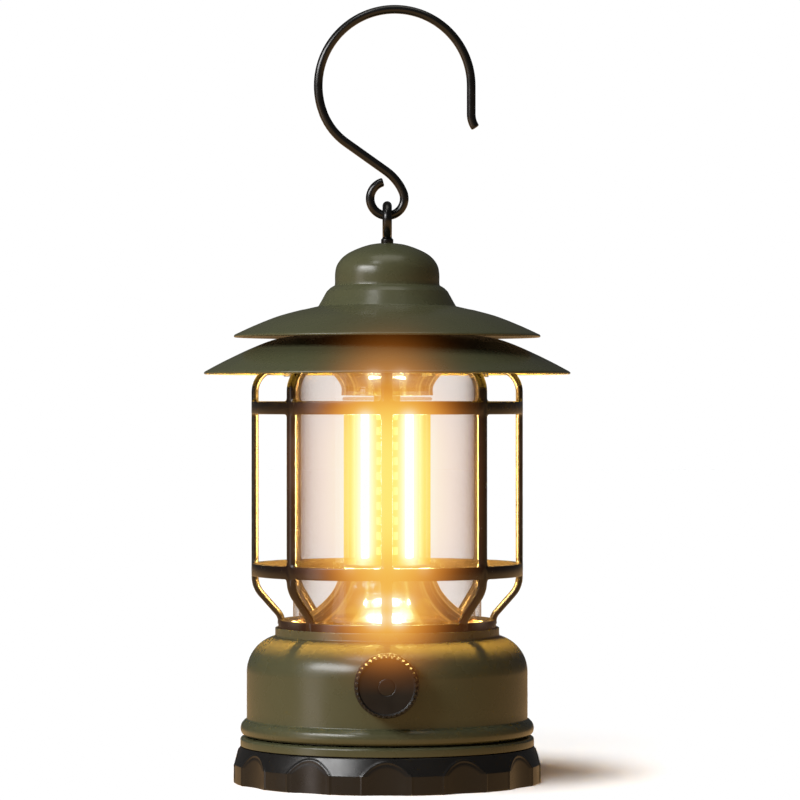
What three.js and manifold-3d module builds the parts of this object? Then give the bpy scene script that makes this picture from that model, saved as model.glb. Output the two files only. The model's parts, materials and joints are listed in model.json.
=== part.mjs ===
// Camping lantern with a hanging hook: a rechargeable LED lantern in the style of an old oil lamp.
// Millimetres, +Z up. The origin is the centre of the foot's underside, and the knob faces -Y.
import * as THREE from "three";
import { mergeVertices } from "three/addons/utils/BufferGeometryUtils.js";
import Module from "manifold-3d";

const wasm = await Module();
wasm.setup();

// ---------------------------------------------------------------- driving dimensions
const GAP = 0.3; // clearance between pieces that rest on each other
const BIG = 36; // facets round the large turned pieces
const MIDDLE = 24; // facets round the pieces inside
const SMALL = 16; // facets round screws, posts and shafts

const FOOT = { radius: 52.2, wallTop: 6.2, top: 12.0, topRadius: 49.9, inner: 46.9, lip: 44 };
const SCOOP = { count: 12, halfWidth: 7.3, deepest: 50.7 };
const TRAY = { floor: 3.0, thick: 2.0, wall: 1.6, radius: 46.5, band: 49.85, bandTop: 15.1 };
const BODY = { radius: 47.7, wall: 1.8, bottom: 15.9, beadRadius: 49.85, beadTop: 21.4, sideTop: 37.2 };
const SHOULDER = { centre: 35.2, radius: 12.5, end: 76 };
const COLLAR = { radius: 38.05, inner: 37.3, top: 52.3, ledge: 49.6, ledgeInner: 16 };

const CAGE = { radius: 46.1, bars: 8, barWidth: 3.7, barDepth: 2.4, ringThick: 2.0 };
const CAGE_FOOT = { radius: 37.0, inner: 35.2, bottom: 49.9, top: 54.9, flange: 1.2, flangeInner: 16 };
const CAGE_HEAD = { radius: 37.0, inner: 33.0, bottom: 139.0, top: 141.4 };
const LOWER_RING = { bottom: 69.8, top: 74.0 };
const UPPER_RING = { bottom: 124.6, top: 129.0 };
const BAR_BEND = { low: 69.4, lowRadius: 8.8, lean: 43, high: 132.2, highRadius: 8.0 };

const DECK = { radius: 34.9, bottom: 51.4, top: 53.0 };
const GLASS = { radius: 32, wall: 2, bottom: 54.4, top: 144, sealLip: 0.4 };
const TOP_CAP = { radius: 32.8, bottom: 145.4, top: 147.0, bossInner: 10, bossRadius: 14, bossTop: 149.7 };

const COLUMN = { bottom: 73.5, top: 128.9, coverSide: 21.35, coverWall: 1.2, coreSide: 14.8 };
const END_PLATE = { side: 22, thick: 1.2 };
const REFLECTOR = { neck: 15.7, wall: 1.2 };
const STRIP = { width: 14.4, length: 52.4, thick: 0.8, stand: 0.1 };
const LED_LINE = { width: 3.2, length: 50.5, height: 0.6, offset: 2.0 };
const LED_CHIP = { count: 10, pitch: 5.06, width: 1.8, length: 2.6, height: 0.5, offset: -4.5 };
const TUBE = { radius: 4.5, wall: 1.5, bottom: 48.6, top: 149.6, clear: 4.9 };
const NUT = { radius: 6.6, thick: 2.1 };

const LOWER_ROOF = {
  radius: 62.3, thick: 1.2, crown: 151.2, wallOuter: 36.8, wallInner: 33.2, wallBottom: 141.7,
};
const UPPER_ROOF = { radius: 52.1, dome: 182.8, hole: 2.3, post: 3.2, postTop: 159.9 };

const WIRE = 1.5; // radius of the hook's wire
const LOOP = { z: 197.85, radius: 5.8 }; // the hook's own small eye
const HOOK = { x: 2.55, z: 236.2, radius: 26 }; // the hook's large bend
const HOOK_ARM = { x: -10.6, z: 193.0, radius: 17.5 }; // bend from the small eye into the straight arm
const HOOK_NECK = { x: -1.21, z: 234.8, radius: 22 }; // bend from the arm into the large bend
const HOOK_TIP = { drop: 9.6, radius: 8.2, turn: 35 }; // straight drop and turned-out tip
const EYE = { z: 190.5, radius: 4.9, wire: 1.6, collar: 2.1, collarTop: 183.9, shank: 1.9, shankBottom: 174 };
const EYE_WASHER = { radius: 6, bottom: 179.4, top: 180.3 };
const EYE_NUT = { radius: 4, bottom: 176.2, top: 179.1 };

const KNOB = {
  z: 35.8, radius: 10.1, skirt: 10.7, back: -48.3, skirtFront: -49.8, front: -56, flutes: 24, fluteDepth: 0.5,
};
const KNOB_FACE = { dish: 8.75, dishDepth: 0.5, recess: 7.2, recessDepth: 3.4, bore: 3.3, boreEnd: -54.2 };
const DIMMER = { radius: 8, back: -34.2, front: -42.8, bush: 3.9, bushFront: -51, bore: 3.3, boreEnd: -38.5 };
const DIMMER_NUT = { radius: 6.2, thick: 2.1 };
const SHAFT = { radius: 3.0, back: -39, front: -53.9 };

const CELL = { radius: 9.15, length: 65, y: 9.6, z: 16.75, tip: 3, tipLength: 1.2 };
const HOLDER = { length: 72, width: 40, floor: 5.3, thick: 1.6, wallTop: 27.7, wall: 2.2 };
const BOARD = { radius: 37, bottom: 28, thick: 1.6, front: -33, tongue: 8, tongueEnd: 43.5, leadHole: 3 };
const CHIP = { x: -14, y: 10, side: 6, height: 1.2 };
const INDUCTOR = { x: 12, y: 12, side: 8, height: 4.4 };
const PORT = {
  width: 9, height: 3.2, back: 37.8, front: 45.3, z: 31.5, wall: 0.5, floor: 1.5,
  tongueWidth: 6, tongueThick: 0.7, tongueFront: 43.3,
};
const PORT_HOLE = { width: 10.6, height: 5 };
const COVER = {
  inner: 47.95, thick: 1.25, halfAngle: 10.5, bottom: 26.8, top: 36.4,
  plugWidth: 8.4, plugHeight: 2.6, plugEnd: 45.6,
};
const ANCHOR = { bottom: 36.7, top: 39.2, pegZ: 37.9, peg: 1.1, barb: 2, barbFront: 44.7, barbBack: 43.6 };

const LED_LEAD = { radius: 1.0, points: [[0, 29.9], [1.2, 38], [1.0, 46], [-0.6, 56], [0, 68], [0.4, 76]] };
const BATTERY_LEAD = {
  radius: 0.8, points: [[37.8, 12], [39, 20], [39, 29.5], [37.6, 31.9], [34, 32], [31, 31]],
};

// Screws: their common size, then the count, circle, first angle and length of each set.
const SCREW = { shank: 1.2, head: 2.4, headThick: 1.4 };
const BASE_SCREWS = { count: 4, circle: 41, first: 45, length: 12, post: 3, postTop: 45.2 };
const CAGE_SCREWS = { count: 4, circle: 35, first: 22.5, length: 7 };
const DECK_SCREWS = { count: 3, circle: 21, first: 90, length: -5 };
const ROOF_SCREWS = { count: 3, circle: 24, first: -90, length: 6.6 };

// ---------------------------------------------------------------- colours
function paint(color, roughness, metalness) {
  return new THREE.MeshStandardMaterial({ color, roughness, metalness });
}
const OLIVE = paint(0x5a5b42, 0.45, 0.1);
const BLACK_METAL = paint(0x1c1917, 0.4, 0.6);
const BLACK_RUBBER = paint(0x24211f, 0.7, 0);
const BLACK_PLASTIC = paint(0x1e1c1b, 0.5, 0);
const CLEAR = paint(0xf4efe8, 0.05, 0);
CLEAR.transparent = true;
CLEAR.opacity = 0.3;
const AMBER = paint(0xffc445, 0.4, 0);
const STEEL = paint(0xb8bbc0, 0.3, 1);
const ALUMINIUM = paint(0xc9ccd0, 0.4, 1);
const SILICONE = paint(0xd9d6cf, 0.6, 0);
const BOARD_GREEN = paint(0x1f5b34, 0.5, 0);
const CELL_WRAP = paint(0x2f6db5, 0.4, 0);

// ---------------------------------------------------------------- shape helpers
const radians = THREE.MathUtils.degToRad;

// Points of an arc about (x, y), from one angle to another in degrees.
function arc(x, y, radius, from, to, steps) {
  return Array.from({ length: steps + 1 }, (_, i) => {
    const a = radians(from + ((to - from) * i) / steps);
    return [x + radius * Math.cos(a), y + radius * Math.sin(a)];
  });
}

// A closed solid turned about Z from an outline of [radius, z] points, in either order round.
function turned(outline, facets = BIG) {
  const last = outline.length - 1;
  const onAxis = outline[0][0] === 0 && outline[last][0] === 0;
  const area = outline.reduce((sum, [r, z], i) => {
    const [r2, z2] = outline[(i + 1) % outline.length];
    return sum + r * z2 - r2 * z;
  }, 0);
  let points = area > 0 ? outline : [...outline].reverse();
  if (!onAxis) points = [...points, points[0]];
  const profile = points.map(([r, z]) => new THREE.Vector2(r, z));
  return new THREE.LatheGeometry(profile, facets).rotateX(Math.PI / 2);
}

// A ring or disc with a square section.
function ring(outer, inner, bottom, top, facets = BIG) {
  return turned([[inner, bottom], [outer, bottom], [outer, top], [inner, top]], facets);
}

function disc(radius, bottom, top, facets = BIG) {
  return turned(rod(radius, bottom, top), facets);
}

// The same, turned about the Y axis at height z, from outlines of [radius, y] points.
function turnedAboutY(outline, z, facets) {
  return turned(outline.map(([r, y]) => [r, -y]), facets).rotateX(Math.PI / 2).translate(0, 0, z);
}

// The outline of a plain rod from one place on its axis to another.
function rod(radius, from, to) {
  return [[0, from], [radius, from], [radius, to], [0, to]];
}

function block(width, depth, height, x, y, z) {
  return new THREE.BoxGeometry(width, depth, height).translate(x, y, z);
}

// An upright prism from an outline of [x, y] points.
function prism(outline, bottom, top, holes = []) {
  const shape = new THREE.Shape(outline.map(([x, y]) => new THREE.Vector2(x, y)));
  holes.forEach((hole) => shape.holes.push(new THREE.Path(hole.map(([x, y]) => new THREE.Vector2(x, y)))));
  const made = new THREE.ExtrudeGeometry(shape, { depth: top - bottom, bevelEnabled: false });
  return made.translate(0, 0, bottom);
}

function square(side) {
  const h = side / 2;
  return [[-h, -h], [h, -h], [h, h], [-h, h]];
}

function polygon(radius, corners) {
  return arc(0, 0, radius, 0, 360, corners).slice(0, corners);
}

// A path whose steps fall on its own points, so that straight stretches take one step.
class PointPath extends THREE.Curve {
  constructor(points) {
    super();
    this.points = points;
  }
  getPoint(t) {
    const at = t * (this.points.length - 1);
    const i = Math.min(Math.floor(at), this.points.length - 2);
    return this.points[i].clone().lerp(this.points[i + 1], at - i);
  }
  getPointAt(u) {
    return this.getPoint(u);
  }
  getTangentAt(u) {
    const i = Math.round(u * (this.points.length - 1));
    const before = this.points[Math.max(i - 1, 0)];
    const here = this.points[i];
    const after = this.points[Math.min(i + 1, this.points.length - 1)];
    const into = here.clone().sub(before).normalize();
    const out = after.clone().sub(here).normalize();
    return into.add(out).normalize();
  }
}

// A bar with an elliptical section along [x, z] points in the XZ plane.
function barAlong(points, halfWidth, halfDepth, sides) {
  const section = new THREE.Shape(polygon(1, sides)
    .map(([x, y]) => new THREE.Vector2(x * halfWidth, y * halfDepth)));
  const extrudePath = new PointPath(points.map(([x, z]) => new THREE.Vector3(x, 0, z)));
  return new THREE.ExtrudeGeometry(section, { steps: points.length - 1, extrudePath, bevelEnabled: false });
}

// ---------------------------------------------------------------- joining and cutting
function solid(geometry) {
  const flat = new THREE.BufferGeometry();
  const plain = geometry.index ? geometry.toNonIndexed() : geometry;
  flat.setAttribute("position", plain.getAttribute("position"));
  const merged = mergeVertices(flat, 1e-3);
  return new wasm.Manifold(new wasm.Mesh({
    numProp: 3,
    vertProperties: merged.attributes.position.array,
    triVerts: new Uint32Array(merged.index.array),
  }));
}

function geometryOf(made) {
  const { vertProperties, triVerts } = made.getMesh();
  const geometry = new THREE.BufferGeometry();
  geometry.setAttribute("position", new THREE.BufferAttribute(new Float32Array(vertProperties), 3));
  geometry.setIndex(new THREE.BufferAttribute(new Uint32Array(triVerts), 1));
  return geometry;
}

function join(...shapes) {
  return geometryOf(shapes.map(solid).reduce((all, one) => all.add(one)));
}

function cut(shape, ...tools) {
  return geometryOf(tools.map(solid).reduce((left, tool) => left.subtract(tool), solid(shape)));
}

// ---------------------------------------------------------------- the assembly
const lantern = new THREE.Group();

function add(name, geometry, material) {
  const mesh = new THREE.Mesh(geometry, material);
  mesh.name = name;
  lantern.add(mesh);
  return mesh;
}

// Places on a circle, as [x, y].
function onCircle({ count, circle, first }) {
  return Array.from({ length: count }, (_, i) => {
    const a = radians(first + (360 * i) / count);
    return [circle * Math.cos(a), circle * Math.sin(a)];
  });
}

// Upright cylinders at a set's places: posts, pilots or through holes.
function pillars(set, radius, bottom, top, facets = 8) {
  return onCircle(set).map(([x, y]) => disc(radius, bottom, top, facets).translate(x, y, 0));
}

function screwHoles(set, bottom, top) {
  return pillars(set, SCREW.shank + GAP, bottom, top);
}

// A set of screws with their heads against height z. They point up, or down where their length is negative.
function addScrews(prefix, set, z) {
  const { shank, head, headThick } = SCREW;
  const outer = z - Math.sign(set.length) * headThick;
  const tip = z + set.length;
  onCircle(set).forEach(([x, y], i) => {
    const geometry = turned([[0, outer], [head, outer], [head, z], [shank, z], [shank, tip], [0, tip]], 8);
    add(`${prefix}_screw_${i + 1}`, geometry, STEEL).position.set(x, y, 0);
  });
}

// A hexagonal nut about Z with a round hole.
function hexNut(radius, hole, bottom, top) {
  return prism(polygon(radius, 6), bottom, top, [polygon(hole, SMALL)]);
}

// ---- foot and tray
function footShape() {
  const { radius, wallTop, top, topRadius, inner, lip } = FOOT;
  const body = turned([
    [lip, 0], [radius - 0.6, 0], [radius, 0.6], [radius, wallTop], [topRadius, top],
    [inner, top], [inner, TRAY.floor - GAP], [lip, TRAY.floor - GAP],
  ]);
  // Each finger scoop is part of an upright cylinder that bites into the wall and the cone above it.
  const depth = Math.sqrt(radius ** 2 - SCOOP.halfWidth ** 2) - SCOOP.deepest;
  const bend = (SCOOP.halfWidth ** 2 + depth ** 2) / (2 * depth);
  const spread = THREE.MathUtils.radToDeg(Math.asin((SCOOP.halfWidth + 1) / bend));
  const bite = arc(SCOOP.deepest + bend, 0, bend, 180 - spread, 180 + spread, 4);
  const outline = [...bite, [radius + 3, bite[4][1]], [radius + 3, bite[0][1]]];
  const tools = Array.from({ length: SCOOP.count }, (_, i) =>
    prism(outline, -1, top + 1).rotateZ(radians((360 * i) / SCOOP.count)));
  return cut(body, ...tools);
}
add("base_foot", footShape(), BLACK_RUBBER);

function trayShape() {
  const { floor, thick, wall, radius, band, bandTop } = TRAY;
  const spigot = BODY.radius - BODY.wall - 0.5;
  const tray = turned([
    [0, floor], [radius, floor], [radius, FOOT.top + GAP], [band, FOOT.top + GAP], [band, bandTop],
    [spigot, bandTop + 0.4], [spigot, bandTop + 3.6], [spigot - wall, bandTop + 3.6],
    [spigot - wall, floor + thick], [0, floor + thick],
  ]);
  const postRoom = pillars(BASE_SCREWS, BASE_SCREWS.post + GAP, floor + thick, bandTop + 10, 10);
  return cut(tray, ...screwHoles(BASE_SCREWS, 0, floor + thick + 1), ...postRoom);
}
add("base_tray", trayShape(), OLIVE);

addScrews("base", BASE_SCREWS, TRAY.floor - GAP);

// ---- body shell
function bodyShape() {
  const { radius, wall, bottom, beadRadius, beadTop, sideTop } = BODY;
  const { centre, radius: bend, end } = SHOULDER;
  const shell = turned([
    [radius - wall, bottom], [48.5, bottom], [beadRadius, 17.6], [beadRadius, 18.9], [48.6, 20.9],
    [radius, beadTop],
    ...arc(centre, sideTop, bend, 0, end, 5),
    [COLLAR.radius, COLLAR.top], [COLLAR.inner, COLLAR.top], [COLLAR.inner, COLLAR.ledge],
    [COLLAR.ledgeInner, COLLAR.ledge], [COLLAR.ledgeInner, COLLAR.ledge - 2],
    ...arc(centre, sideTop, bend - wall, end, 0, 2),
  ]);
  const postBottom = TRAY.floor + TRAY.thick + GAP;
  const posts = pillars(BASE_SCREWS, BASE_SCREWS.post, postBottom, BASE_SCREWS.postTop, 10);
  const pilots = screwHoles(BASE_SCREWS, 0, TRAY.floor + BASE_SCREWS.length + 1.5);
  const deckHoles = screwHoles(DECK_SCREWS, COLLAR.ledge - 3, COLLAR.ledge + 1);
  const knobHole = turnedAboutY(rod(DIMMER.bush + GAP, -beadRadius, -radius + 2 * wall), KNOB.z, SMALL);
  const portHole = block(PORT_HOLE.width, 4 * wall, PORT_HOLE.height, 0, radius - wall, PORT.z);
  const pegHole = turnedAboutY(rod(ANCHOR.peg + GAP, radius - 2 * wall, beadRadius), ANCHOR.pegZ, 8);
  return cut(join(shell, ...posts), ...pilots, ...deckHoles, knobHole, portHole, pegHole);
}
add("body_shell", bodyShape(), OLIVE);

// ---- cage: eight bars and four rings in one casting
function cageShape() {
  const { radius, bars, barWidth, barDepth, ringThick } = CAGE;
  const axis = radius - barDepth / 2;
  const { low, lowRadius, lean, high, highRadius } = BAR_BEND;
  const footX = CAGE_FOOT.radius - 0.9;
  const headX = CAGE_HEAD.inner + 2;
  const path = [
    [footX, CAGE_FOOT.top - 1], [footX, CAGE_FOOT.top + 0.6], [footX + 0.6, CAGE_FOOT.top + 2],
    ...arc(axis - lowRadius, low, lowRadius, -lean, 0, 3),
    ...arc(axis - highRadius, high, highRadius, 0, 90, 3), [headX, high + highRadius],
  ];
  const bar = () => barAlong(path, barWidth / 2, barDepth / 2, 6);
  const spokes = Array.from({ length: bars }, (_, i) => bar().rotateZ(radians((360 * i) / bars)));
  const foot = turned([
    [CAGE_FOOT.flangeInner, CAGE_FOOT.bottom], [CAGE_FOOT.radius, CAGE_FOOT.bottom],
    [CAGE_FOOT.radius, CAGE_FOOT.top], [CAGE_FOOT.inner, CAGE_FOOT.top],
    [CAGE_FOOT.inner, CAGE_FOOT.bottom + CAGE_FOOT.flange],
    [CAGE_FOOT.flangeInner, CAGE_FOOT.bottom + CAGE_FOOT.flange],
  ]);
  const rings = [LOWER_RING, UPPER_RING].map(({ bottom, top }) =>
    ring(radius, radius - ringThick, bottom, top, 32));
  const head = ring(CAGE_HEAD.radius, CAGE_HEAD.inner, CAGE_HEAD.bottom, CAGE_HEAD.top);
  const headHoles = screwHoles(CAGE_SCREWS, CAGE_HEAD.bottom - 1, CAGE_HEAD.top + 1);
  const footHoles = screwHoles(DECK_SCREWS, CAGE_FOOT.bottom - 1, CAGE_FOOT.top);
  return cut(join(foot, ...rings, head, ...spokes), ...headHoles, ...footHoles);
}
add("cage", cageShape(), BLACK_METAL);
addScrews("cage", CAGE_SCREWS, CAGE_HEAD.bottom - GAP);

// ---- lamp deck, glass and its seals
add("lamp_deck", cut(
  disc(DECK.radius, DECK.bottom, DECK.top, MIDDLE),
  disc(TUBE.clear, DECK.bottom - 1, DECK.top + 1, SMALL),
  ...screwHoles(DECK_SCREWS, DECK.bottom - 1, DECK.top + 1),
), ALUMINIUM);
addScrews("deck", DECK_SCREWS, DECK.top + GAP);

const glassInner = GLASS.radius - GLASS.wall;
const seal = (bottom, top) => ring(GLASS.radius + GLASS.sealLip, glassInner, bottom, top, MIDDLE);
add("glass_seal_bottom", seal(DECK.top + GAP, GLASS.bottom - GAP), SILICONE);
add("glass_chimney", ring(GLASS.radius, glassInner, GLASS.bottom, GLASS.top), CLEAR);
add("glass_seal_top", seal(GLASS.top + GAP, TOP_CAP.bottom - GAP), SILICONE);
add("light_top_cap", turned([
  [TUBE.clear, TOP_CAP.bottom], [TOP_CAP.radius, TOP_CAP.bottom], [TOP_CAP.radius, TOP_CAP.top],
  [TOP_CAP.bossRadius, TOP_CAP.top], [TOP_CAP.bossRadius, TOP_CAP.bossTop],
  [TOP_CAP.bossInner, TOP_CAP.bossTop], [TOP_CAP.bossInner, TOP_CAP.top], [TUBE.clear, TOP_CAP.top],
], MIDDLE), BLACK_PLASTIC);

// ---- reflectors: a tall trumpet below the light column and a shallow one above it
const reflectorRim = glassInner - 0.4;
const lowerNeck = COLUMN.bottom - END_PLATE.thick - 2 * GAP;
const lowerFloor = lowerNeck - REFLECTOR.wall;
add("lower_reflector", turned([
  [TUBE.clear, lowerNeck], [REFLECTOR.neck, lowerNeck], [16.7, 68.2], [19.9, 62.7], [25.5, 57.7],
  [reflectorRim, 55.4], [reflectorRim, DECK.top + GAP], [reflectorRim - REFLECTOR.wall, DECK.top + GAP],
  [reflectorRim - 1.5, 54.9], [24.8, 56.5], [18.8, 61.9], [15.4, 67.8], [14.6, lowerFloor],
  [TUBE.clear, lowerFloor],
], MIDDLE), CLEAR);
const upperNeck = COLUMN.top + END_PLATE.thick + 2 * GAP;
const upperFloor = upperNeck + REFLECTOR.wall;
add("upper_reflector", turned([
  [TUBE.clear, upperNeck], [REFLECTOR.neck, upperNeck], [REFLECTOR.neck, 134.2], [18.4, 138],
  [reflectorRim, 143.4], [reflectorRim, 144.8], [17.4, 139.3], [14.4, 134.8], [14.2, upperFloor],
  [TUBE.clear, upperFloor],
], MIDDLE), CLEAR);

// ---- light column: a square core with strips, in a clear square cover with one corner to the front
const column = new THREE.Group();
column.rotation.z = Math.PI / 4;
lantern.add(column);

function addToColumn(name, geometry, material) {
  const mesh = new THREE.Mesh(geometry, material);
  mesh.name = name;
  column.add(mesh);
}
const tubeHole = polygon(TUBE.clear, SMALL);
addToColumn("led_core", prism(square(COLUMN.coreSide), COLUMN.bottom, COLUMN.top, [tubeHole]), ALUMINIUM);
addToColumn("led_cover", prism(
  square(COLUMN.coverSide), COLUMN.bottom, COLUMN.top, [square(COLUMN.coverSide - 2 * COLUMN.coverWall)],
), CLEAR);
addToColumn("led_end_plate_bottom", prism(
  square(END_PLATE.side), COLUMN.bottom - GAP - END_PLATE.thick, COLUMN.bottom - GAP, [tubeHole],
), CLEAR);
addToColumn("led_end_plate_top", prism(
  square(END_PLATE.side), COLUMN.top + GAP, COLUMN.top + GAP + END_PLATE.thick, [tubeHole],
), CLEAR);

// One strip on the face towards -Y before turning. side is 1 or -1: which way its lit line is off centre.
function stripShape(side) {
  const middle = (COLUMN.bottom + COLUMN.top) / 2;
  const back = -COLUMN.coreSide / 2 - STRIP.stand;
  const face = back - STRIP.thick;
  const base = block(STRIP.width, STRIP.thick, STRIP.length, 0, back - STRIP.thick / 2, middle);
  // A block that stands out of the strip by its height and is sunk in by as much as joins it.
  const raised = ({ width, height, length, offset }, z) =>
    block(width, height + STRIP.stand, length, side * offset, face + (STRIP.stand - height) / 2, z);
  const chips = Array.from({ length: LED_CHIP.count }, (_, i) =>
    raised(LED_CHIP, middle + (i - (LED_CHIP.count - 1) / 2) * LED_CHIP.pitch));
  return join(base, raised(LED_LINE, middle), ...chips);
}
[
  ["front_left", -90, -1], ["front_right", 0, 1], ["back_right", 90, -1], ["back_left", 180, 1],
].forEach(([place, degrees, side]) => {
  addToColumn(`led_strip_${place}`, stripShape(side).rotateZ(radians(degrees)), AMBER);
});

// ---- threaded tube that clamps the light column between the deck and the top cap, and carries the leads
add("centre_tube", ring(TUBE.radius, TUBE.radius - TUBE.wall, TUBE.bottom, TUBE.top, SMALL), ALUMINIUM);
const tubeNut = (bottom) => hexNut(NUT.radius, TUBE.clear, bottom, bottom + NUT.thick);
add("tube_nut_bottom", tubeNut(DECK.bottom - GAP - NUT.thick), STEEL);
add("tube_nut_top", tubeNut(TOP_CAP.top + GAP), STEEL);

// ---- roofs
function lowerRoofShape() {
  const { radius, thick, crown, wallOuter, wallInner, wallBottom } = LOWER_ROOF;
  const roof = turned([
    [0, crown], [28, crown], [34, 150.7], [41.6, 148.8], [50.5, 145.0], [radius, 138.9],
    [radius - 0.7, 138.0], [50.0, 143.9], [wallOuter, 148.8],
    [wallOuter, wallBottom], [wallInner, wallBottom], [wallInner, crown - thick], [0, crown - thick],
  ]);
  const cagePilots = screwHoles(CAGE_SCREWS, wallBottom - 1, wallBottom + 4.5);
  return cut(roof, ...screwHoles(ROOF_SCREWS, crown - 2 * thick, crown + 1), ...cagePilots);
}
add("lower_roof", lowerRoofShape(), OLIVE);

function upperRoofShape() {
  const { radius, dome, hole, post, postTop } = UPPER_ROOF;
  const shell = turned([
    [hole, dome], [6.3, 182.3], [12.2, 180.3], [16.4, 176.9], [17.7, 173.2], [18.1, 168.2],
    [19.7, 166.5], [23.6, 160.9], [30.6, 159.5], [37.5, 157.6], [45.3, 154.6], [radius, 151.4],
    [radius - 0.5, 150.6], [37.2, 156.4], [22.8, 159.7],
    [18.7, 165.8], [16.9, 167.6], [16.5, 173], [15.0, 176.3], [9.8, 179.9], [hole, 181.6],
  ]);
  const posts = pillars(ROOF_SCREWS, post, LOWER_ROOF.crown + GAP, postTop, 10);
  const pilots = screwHoles(ROOF_SCREWS, LOWER_ROOF.crown, LOWER_ROOF.crown + ROOF_SCREWS.length - 0.3);
  return cut(join(shell, ...posts), ...pilots);
}
add("upper_roof", upperRoofShape(), OLIVE);
addScrews("roof", ROOF_SCREWS, LOWER_ROOF.crown - LOWER_ROOF.thick - GAP);

// ---- hanging eye and hook
function eyeShape() {
  const { z, radius, wire, collar, collarTop, shank, shankBottom } = EYE;
  const eye = new THREE.TorusGeometry(radius, wire, 8, 20).rotateY(Math.PI / 2).translate(0, 0, z);
  const stem = turned([
    [0, shankBottom], [shank, shankBottom], [shank, UPPER_ROOF.dome + 0.2], [collar, UPPER_ROOF.dome + 0.2],
    [collar, collarTop], [wire, collarTop + 0.4], [wire, z - radius], [0, z - radius],
  ], 8);
  return join(eye, stem);
}
add("eye_bolt", eyeShape(), BLACK_METAL);
const eyeClear = EYE.shank + GAP;
add("eye_washer", ring(EYE_WASHER.radius, eyeClear, EYE_WASHER.bottom, EYE_WASHER.top, SMALL), STEEL);
add("eye_nut", hexNut(EYE_NUT.radius, eyeClear, EYE_NUT.bottom, EYE_NUT.top), STEEL);

// One length of wire: small eye, sweep up to the large bend, straight drop and a turned-out tip.
function hookPath() {
  const right = HOOK.x + HOOK.radius;
  return [
    ...arc(0, LOOP.z, LOOP.radius, 103, 385, 14),
    ...arc(HOOK_ARM.x, HOOK_ARM.z, HOOK_ARM.radius, 30, 54.5, 2),
    ...arc(HOOK_NECK.x, HOOK_NECK.z, HOOK_NECK.radius, 234.5, 202, 2),
    ...arc(HOOK.x, HOOK.z, HOOK.radius, 196, 0, 16),
    ...arc(right + HOOK_TIP.radius, HOOK.z - HOOK_TIP.drop, HOOK_TIP.radius, 180, 180 + HOOK_TIP.turn, 3),
  ];
}
add("hook", barAlong(hookPath(), WIRE, WIRE, 8), BLACK_METAL);

// ---- dimmer and its knob
function knobShape() {
  const { z, radius, skirt, back, skirtFront, front, flutes, fluteDepth } = KNOB;
  const { dish, dishDepth, recess, recessDepth, bore, boreEnd } = KNOB_FACE;
  const rim = Array.from({ length: flutes * 2 }, (_, i) => {
    const a = (Math.PI * i) / flutes;
    const r = i % 2 ? radius - fluteDepth : radius;
    return [r * Math.cos(a), r * Math.sin(a)];
  });
  const grip = prism(rim, -skirtFront, -front).rotateX(Math.PI / 2).translate(0, 0, z);
  const plate = turnedAboutY(rod(skirt, back, skirtFront), z, BIG);
  const dishCut = turnedAboutY(rod(dish, front - 1, front + dishDepth), z, BIG);
  const step = back - recessDepth;
  const recessCut = turnedAboutY([
    [0, back + 1], [recess, back + 1], [recess, step], [bore, step], [bore, boreEnd], [0, boreEnd],
  ], z, SMALL);
  return cut(join(grip, plate), dishCut, recessCut);
}
add("dimmer_knob", knobShape(), BLACK_PLASTIC);
add("dimmer_shaft", turnedAboutY(rod(SHAFT.radius, SHAFT.back, SHAFT.front), KNOB.z, SMALL), STEEL);

function dimmerShape() {
  const { radius, back, front, bush, bushFront, bore, boreEnd } = DIMMER;
  return turnedAboutY([
    [0, back], [radius, back], [radius, front], [bush, front], [bush, bushFront], [bore, bushFront],
    [bore, boreEnd], [0, boreEnd],
  ], KNOB.z, SMALL);
}
add("dimmer_switch", dimmerShape(), STEEL);
const nutBack = BODY.radius + GAP;
const dimmerNut = hexNut(DIMMER_NUT.radius, DIMMER.bush + GAP, nutBack, nutBack + DIMMER_NUT.thick);
add("dimmer_nut", dimmerNut.rotateX(Math.PI / 2).translate(0, 0, KNOB.z), STEEL);

// ---- power: two cells in a holder, the control board, its charging port and the port's cover
[["front", -1], ["back", 1]].forEach(([place, side]) => {
  const { radius, length, y, z, tip, tipLength } = CELL;
  const h = length / 2;
  const shoulder = h - tipLength;
  const cell = turned([[0, -h], [radius, -h], [radius, shoulder], [tip, shoulder], [tip, h], [0, h]], 20);
  add(`cell_${place}`, cell.rotateY(side * Math.PI / 2).translate(0, side * y, z), CELL_WRAP);
});

function holderShape() {
  const { length, width, floor, thick, wallTop, wall } = HOLDER;
  const base = block(length, width, thick, 0, 0, floor + thick / 2);
  const ends = [-1, 1].map((side) =>
    block(wall, width - 6, wallTop - floor, side * (length - wall) / 2, 0, (wallTop + floor) / 2));
  return join(base, ...ends);
}
add("cell_holder", holderShape(), BLACK_PLASTIC);

function boardShape() {
  const { radius, bottom, thick, front, tongue, tongueEnd, leadHole } = BOARD;
  const start = Math.asin(front / radius);
  const side = Math.acos(tongue / radius);
  const degrees = THREE.MathUtils.radToDeg;
  const right = arc(0, 0, radius, degrees(start), degrees(side), 8);
  const left = arc(0, 0, radius, 180 - degrees(side), 180 - degrees(start), 8);
  const outline = [...right, [tongue, tongueEnd], [-tongue, tongueEnd], ...left];
  return prism(outline, bottom, bottom + thick, [polygon(leadHole, 12)]);
}
add("control_board", boardShape(), BOARD_GREEN);

function onBoard({ x, y, side, height }) {
  return block(side, side, height, x, y, BOARD.bottom + BOARD.thick + GAP + height / 2);
}
add("driver_chip", onBoard(CHIP), BLACK_PLASTIC);
add("power_inductor", onBoard(INDUCTOR), BLACK_PLASTIC);

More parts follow.
